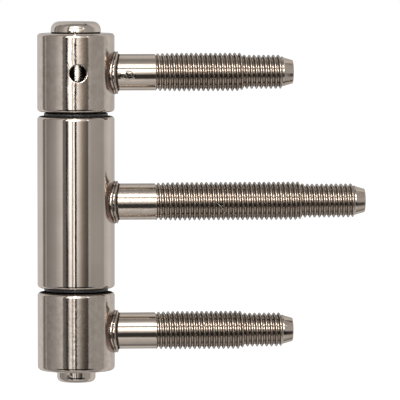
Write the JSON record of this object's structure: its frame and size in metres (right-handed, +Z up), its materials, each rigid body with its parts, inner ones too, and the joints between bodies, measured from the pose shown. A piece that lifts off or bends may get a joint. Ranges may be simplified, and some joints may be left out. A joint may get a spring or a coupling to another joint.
{
  "type": "barrel hinge",
  "caption": "Drill-in barrel hinge in bright nickel: frame and leaf knuckles on a headed lift-out pin, with black flanged bushes between and a welded threaded stud on each, to hang a door.",
  "frame": {"origin": "where the hinge axis crosses the axis of the leaf stud, at mid height of the leaf knuckle", "axes": "+Z up along the hinge axis, towards the pin's head; +X along the studs, away from the barrels; -Y towards the face with the lock hole"},
  "size_m": [0.068, 0.016, 0.0746],
  "materials": {
    "barrel_nickel": "bright nickel plate on turned steel, slightly wavy",
    "stud_nickel": "bright nickel plate on rolled thread",
    "pin_nickel": "polished nickel plate",
    "bush_black": "moulded, satin"
  },
  "bodies": {
    "upper_frame": {"upper_barrel": "barrel_nickel", "upper_stud": "stud_nickel"},
    "door_leaf": {"leaf_barrel": "barrel_nickel", "leaf_stud": "stud_nickel", "upper_bush": "bush_black", "lower_bush": "bush_black"},
    "lower_frame": {"lower_barrel": "barrel_nickel", "lower_stud": "stud_nickel"},
    "pin": {"hinge_pin": "pin_nickel"}
  },
  "joints": [
    {"name": "leaf_swing", "type": "hinge", "parent": "upper_frame", "child": "door_leaf", "pos_m": [0, 0, 0], "axis": [0, 0, 1], "continuous": true},
    {"name": "lower_frame_turn", "type": "hinge", "parent": "upper_frame", "child": "lower_frame", "pos_m": [0, 0, -0.02675], "axis": [0, 0, 1], "continuous": true},
    {"name": "pin_draw", "type": "slide", "parent": "upper_frame", "child": "pin", "axis": [0, 0, 1], "range_m": [0, 0.073]}
  ]
}
